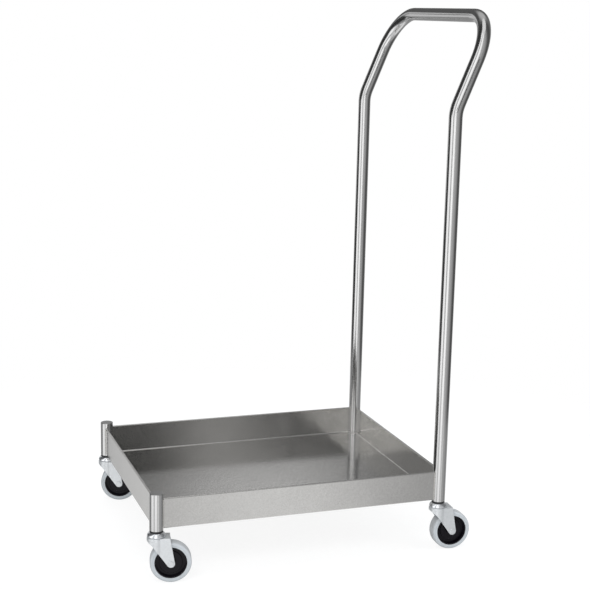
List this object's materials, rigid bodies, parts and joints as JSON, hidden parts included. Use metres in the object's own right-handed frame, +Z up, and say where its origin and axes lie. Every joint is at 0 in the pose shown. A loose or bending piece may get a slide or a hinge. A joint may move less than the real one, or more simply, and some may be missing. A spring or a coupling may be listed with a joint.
{
  "type": "stool dolly",
  "caption": "Low wheeled dolly for stools: shallow sheet-steel tray between corner tubes, tall bent push handle at one end, swivel casters below.",
  "frame": {"origin": "on the ground, at the middle of the dolly's bounding box in X and Y", "axes": "+Z up, +X along the tray towards the push handle, +Y across the tray, away from the side that the picture shows nearest"},
  "size_m": [0.6612, 0.4955, 1.034],
  "materials": {
    "tray_steel": "brushed stainless sheet, satin",
    "tube_steel": "polished and lightly brushed stainless tube",
    "weld_steel": "dressed weld",
    "zinc_plate": "bright zinc plate, satin",
    "bright_plate": "bright plated race",
    "ball_steel": "polished bearing balls",
    "black_rubber": "matte black rubber",
    "hub_plastic": "satin black moulded plastic",
    "grey_tyre": "non-marking light grey rubber, satin"
  },
  "bodies": {
    "frame": {"tray_pan": "tray_steel", "handle_tube": "tube_steel", "front_left_post": "tube_steel", "rear_left_post": "tube_steel", "front_left_cap": "tube_steel", "rear_left_cap": "tube_steel", "weld_beads": "weld_steel", "front_left_sleeve": "black_rubber", "front_left_expander": "zinc_plate", "front_left_stem": "zinc_plate", "front_left_top_race": "bright_plate", "front_left_low_race": "zinc_plate", "front_right_sleeve": "black_rubber", "front_right_expander": "zinc_plate", "front_right_stem": "zinc_plate", "front_right_top_race": "bright_plate", "front_right_low_race": "zinc_plate", "rear_left_sleeve": "black_rubber", "rear_left_expander": "zinc_plate", "rear_left_stem": "zinc_plate", "rear_left_top_race": "bright_plate", "rear_left_low_race": "zinc_plate", "rear_right_sleeve": "black_rubber", "rear_right_expander": "zinc_plate", "rear_right_stem": "zinc_plate", "rear_right_top_race": "bright_plate", "rear_right_low_race": "zinc_plate"},
    "front_left_swivel": {"front_left_fork": "zinc_plate", "front_left_balls": "ball_steel", "front_left_axle": "zinc_plate", "front_left_axle_nut": "zinc_plate", "front_left_bush": "zinc_plate"},
    "front_left_wheel": {"front_left_hub": "hub_plastic", "front_left_tyre": "grey_tyre"},
    "front_right_swivel": {"front_right_fork": "zinc_plate", "front_right_balls": "ball_steel", "front_right_axle": "zinc_plate", "front_right_axle_nut": "zinc_plate", "front_right_bush": "zinc_plate"},
    "front_right_wheel": {"front_right_hub": "hub_plastic", "front_right_tyre": "grey_tyre"},
    "rear_left_swivel": {"rear_left_fork": "zinc_plate", "rear_left_balls": "ball_steel", "rear_left_axle": "zinc_plate", "rear_left_axle_nut": "zinc_plate", "rear_left_bush": "zinc_plate"},
    "rear_left_wheel": {"rear_left_hub": "hub_plastic", "rear_left_tyre": "grey_tyre"},
    "rear_right_swivel": {"rear_right_fork": "zinc_plate", "rear_right_balls": "ball_steel", "rear_right_axle": "zinc_plate", "rear_right_axle_nut": "zinc_plate", "rear_right_bush": "zinc_plate"},
    "rear_right_wheel": {"rear_right_hub": "hub_plastic", "rear_right_tyre": "grey_tyre"}
  },
  "joints": [
    {"name": "front_left_swivel_turn", "type": "hinge", "parent": "frame", "child": "front_left_swivel", "pos_m": [-0.31308, -0.2225, 0.0985], "axis": [0, 0, 1], "continuous": true},
    {"name": "front_left_wheel_spin", "type": "hinge", "parent": "front_left_swivel", "child": "front_left_wheel", "pos_m": [-0.28765, -0.22791, 0.0381], "axis": [0.2079, 0.9781, 0], "continuous": true},
    {"name": "front_right_swivel_turn", "type": "hinge", "parent": "frame", "child": "front_right_swivel", "pos_m": [0.24692, -0.2225, 0.0985], "axis": [0, 0, 1], "continuous": true},
    {"name": "front_right_wheel_spin", "type": "hinge", "parent": "front_right_swivel", "child": "front_right_wheel", "pos_m": [0.27289, -0.22386, 0.0381], "axis": [0.0523, 0.9986, 0], "continuous": true},
    {"name": "rear_left_swivel_turn", "type": "hinge", "parent": "frame", "child": "rear_left_swivel", "pos_m": [-0.31308, 0.2225, 0.0985], "axis": [0, 0, 1], "continuous": true},
    {"name": "rear_left_wheel_spin", "type": "hinge", "parent": "rear_left_swivel", "child": "rear_left_wheel", "pos_m": [-0.28821, 0.2149, 0.0381], "axis": [0.2924, 0.9563, 0], "continuous": true},
    {"name": "rear_right_swivel_turn", "type": "hinge", "parent": "frame", "child": "rear_right_swivel", "pos_m": [0.24692, 0.2225, 0.0985], "axis": [0, 0, 1], "continuous": true},
    {"name": "rear_right_wheel_spin", "type": "hinge", "parent": "rear_right_swivel", "child": "rear_right_wheel", "pos_m": [0.27253, 0.22701, 0.0381], "axis": [-0.1736, 0.9848, 0], "continuous": true}
  ]
}
